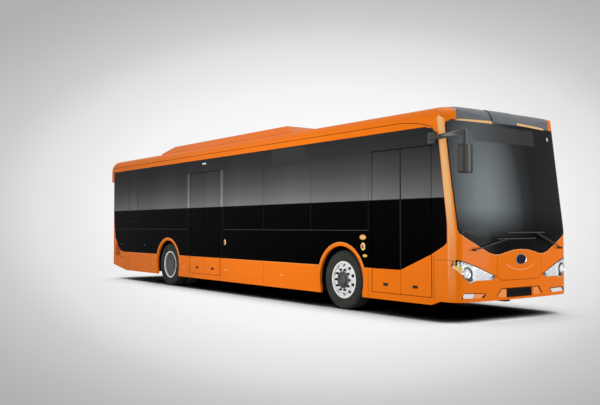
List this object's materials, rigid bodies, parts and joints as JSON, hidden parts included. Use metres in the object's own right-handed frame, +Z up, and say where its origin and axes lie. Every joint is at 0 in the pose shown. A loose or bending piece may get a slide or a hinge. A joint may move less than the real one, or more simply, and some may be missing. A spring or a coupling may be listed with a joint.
{
  "type": "city bus",
  "caption": "Low-floor battery-electric city bus with inward-gliding doors, steered front wheels, twin rear wheels, roof pod, service lids and wipers.",
  "frame": {"origin": "on the ground, at the middle of the whole object's length and width", "axes": "+X forward, +Y to the bus's left, +Z up"},
  "size_m": [12.26, 3, 3.25],
  "materials": {
    "body_orange": "gloss",
    "band_black": "gloss",
    "side_glass": "gloss",
    "screen_glass": "gloss",
    "cap_grey": "satin",
    "door_black": "gloss",
    "tyre_rubber": "matte",
    "wheel_alloy": "polished",
    "chassis_steel": "satin",
    "trim_black": "matte",
    "lamp_clear": "gloss",
    "lamp_red": "gloss",
    "lamp_amber": "gloss",
    "seat_plastic": "matte",
    "floor_grey": "matte",
    "pole_orange": "gloss",
    "battery_case": "satin",
    "cab_grey": "matte"
  },
  "bodies": {
    "body": {"chassis": "chassis_steel", "floor": "floor_grey", "wheel_boxes": "floor_grey", "side_frame_right": "band_black", "side_frame_left": "band_black", "skirts": "body_orange", "side_glass": "side_glass", "roof": "body_orange", "roof_pod": "body_orange", "front_cap": "cap_grey", "front_mask": "body_orange", "windscreen": "screen_glass", "bumper": "body_orange", "front_lamps": "lamp_clear", "rear_panel": "body_orange", "rear_cap": "body_orange", "rear_lamps": "lamp_red", "side_markers": "lamp_amber", "mirrors": "trim_black", "axles": "chassis_steel", "batteries": "battery_case", "driver_cab": "cab_grey", "seats": "seat_plastic", "grab_poles": "pole_orange", "rear_platform": "floor_grey", "door_headers": "band_black"},
    "front_lid": {"front_lid": "body_orange"},
    "rear_lid": {"rear_lid": "body_orange"},
    "wiper_left": {"wiper_left": "trim_black"},
    "wiper_right": {"wiper_right": "trim_black"},
    "knuckle_left": {"knuckle_left": "chassis_steel"},
    "front_wheel_left": {"front_tyre_left": "tyre_rubber", "front_rim_left": "wheel_alloy"},
    "rear_wheels_left": {"rear_tyres_left": "tyre_rubber", "rear_rims_left": "wheel_alloy"},
    "knuckle_right": {"knuckle_right": "chassis_steel"},
    "front_wheel_right": {"front_tyre_right": "tyre_rubber", "front_rim_right": "wheel_alloy"},
    "rear_wheels_right": {"rear_tyres_right": "tyre_rubber", "rear_rims_right": "wheel_alloy"},
    "door_post_front_rear": {"door_post_front_rear": "chassis_steel"},
    "door_leaf_front_rear": {"door_leaf_front_rear": "door_black", "door_glass_front_rear": "side_glass"},
    "door_post_front_front": {"door_post_front_front": "chassis_steel"},
    "door_leaf_front_front": {"door_leaf_front_front": "door_black", "door_glass_front_front": "side_glass"},
    "door_post_mid_rear": {"door_post_mid_rear": "chassis_steel"},
    "door_leaf_mid_rear": {"door_leaf_mid_rear": "door_black", "door_glass_mid_rear": "side_glass"},
    "door_post_mid_front": {"door_post_mid_front": "chassis_steel"},
    "door_leaf_mid_front": {"door_leaf_mid_front": "door_black", "door_glass_mid_front": "side_glass"}
  },
  "joints": [
    {"name": "steer_left", "type": "hinge", "parent": "body", "child": "knuckle_left", "pos_m": [3.325, 0.985, 0.478], "axis": [0, 0, 1], "range_deg": [-42, 42]},
    {"name": "front_wheel_left_spin", "type": "hinge", "parent": "knuckle_left", "child": "front_wheel_left", "pos_m": [3.325, 1.0975, 0.478], "axis": [0, 1, 0], "continuous": true},
    {"name": "rear_wheels_left_spin", "type": "hinge", "parent": "body", "child": "rear_wheels_left", "pos_m": [-2.86, 0.9385, 0.478], "axis": [0, 1, 0], "continuous": true},
    {"name": "steer_right", "type": "hinge", "parent": "body", "child": "knuckle_right", "pos_m": [3.325, -0.985, 0.478], "axis": [0, 0, 1], "range_deg": [-42, 42]},
    {"name": "front_wheel_right_spin", "type": "hinge", "parent": "knuckle_right", "child": "front_wheel_right", "pos_m": [3.325, -1.0975, 0.478], "axis": [0, 1, 0], "continuous": true},
    {"name": "rear_wheels_right_spin", "type": "hinge", "parent": "body", "child": "rear_wheels_right", "pos_m": [-2.86, -0.9385, 0.478], "axis": [0, 1, 0], "continuous": true},
    {"name": "door_front_rear_swing", "type": "hinge", "parent": "body", "child": "door_post_front_rear", "pos_m": [4.042, -1.182, 1.4], "axis": [0, 0, 1], "range_deg": [0, 88]},
    {"name": "door_front_rear_turn", "type": "hinge", "parent": "door_post_front_rear", "child": "door_leaf_front_rear", "pos_m": [4.39275, -1.182, 1.4], "axis": [0, 0, 1], "range_deg": [-176, 0]},
    {"name": "door_front_front_swing", "type": "hinge", "parent": "body", "child": "door_post_front_front", "pos_m": [5.363, -1.182, 1.4], "axis": [0, 0, -1], "range_deg": [0, 88]},
    {"name": "door_front_front_turn", "type": "hinge", "parent": "door_post_front_front", "child": "door_leaf_front_front", "pos_m": [5.01225, -1.182, 1.4], "axis": [0, 0, -1], "range_deg": [-176, 0]},
    {"name": "door_mid_rear_swing", "type": "hinge", "parent": "body", "child": "door_post_mid_rear", "pos_m": [-1.838, -1.182, 1.4], "axis": [0, 0, 1], "range_deg": [0, 88]},
    {"name": "door_mid_rear_turn", "type": "hinge", "parent": "door_post_mid_rear", "child": "door_leaf_mid_rear", "pos_m": [-1.48275, -1.182, 1.4], "axis": [0, 0, 1], "range_deg": [-176, 0]},
    {"name": "door_mid_front_swing", "type": "hinge", "parent": "body", "child": "door_post_mid_front", "pos_m": [-0.499, -1.182, 1.4], "axis": [0, 0, -1], "range_deg": [0, 88]},
    {"name": "door_mid_front_turn", "type": "hinge", "parent": "door_post_mid_front", "child": "door_leaf_mid_front", "pos_m": [-0.85425, -1.182, 1.4], "axis": [0, 0, -1], "range_deg": [-176, 0]},
    {"name": "front_lid_hinge", "type": "hinge", "parent": "body", "child": "front_lid", "pos_m": [5.838, 0, 0.93], "axis": [0, -1, 0], "range_deg": [0, 75]},
    {"name": "rear_lid_hinge", "type": "hinge", "parent": "body", "child": "rear_lid", "pos_m": [-6.037, 0, 1.258], "axis": [0, 1, 0], "range_deg": [0, 80]},
    {"name": "wiper_left_sweep", "type": "hinge", "parent": "body", "child": "wiper_left", "pos_m": [5.87, 0.975, 1.018], "axis": [-1, 0, 0], "range_deg": [0, 80]},
    {"name": "wiper_right_sweep", "type": "hinge", "parent": "body", "child": "wiper_right", "pos_m": [5.87, -0.975, 1.018], "axis": [1, 0, 0], "range_deg": [0, 80]}
  ],
  "couplings": [
    {"joint": "steer_right", "follows": "steer_left", "ratio": 1},
    {"joint": "door_front_rear_turn", "follows": "door_front_rear_swing", "ratio": -2},
    {"joint": "door_front_front_turn", "follows": "door_front_front_swing", "ratio": -2},
    {"joint": "door_mid_rear_turn", "follows": "door_mid_rear_swing", "ratio": -2},
    {"joint": "door_mid_front_turn", "follows": "door_mid_front_swing", "ratio": -2},
    {"joint": "wiper_right_sweep", "follows": "wiper_left_sweep", "ratio": 1}
  ]
}
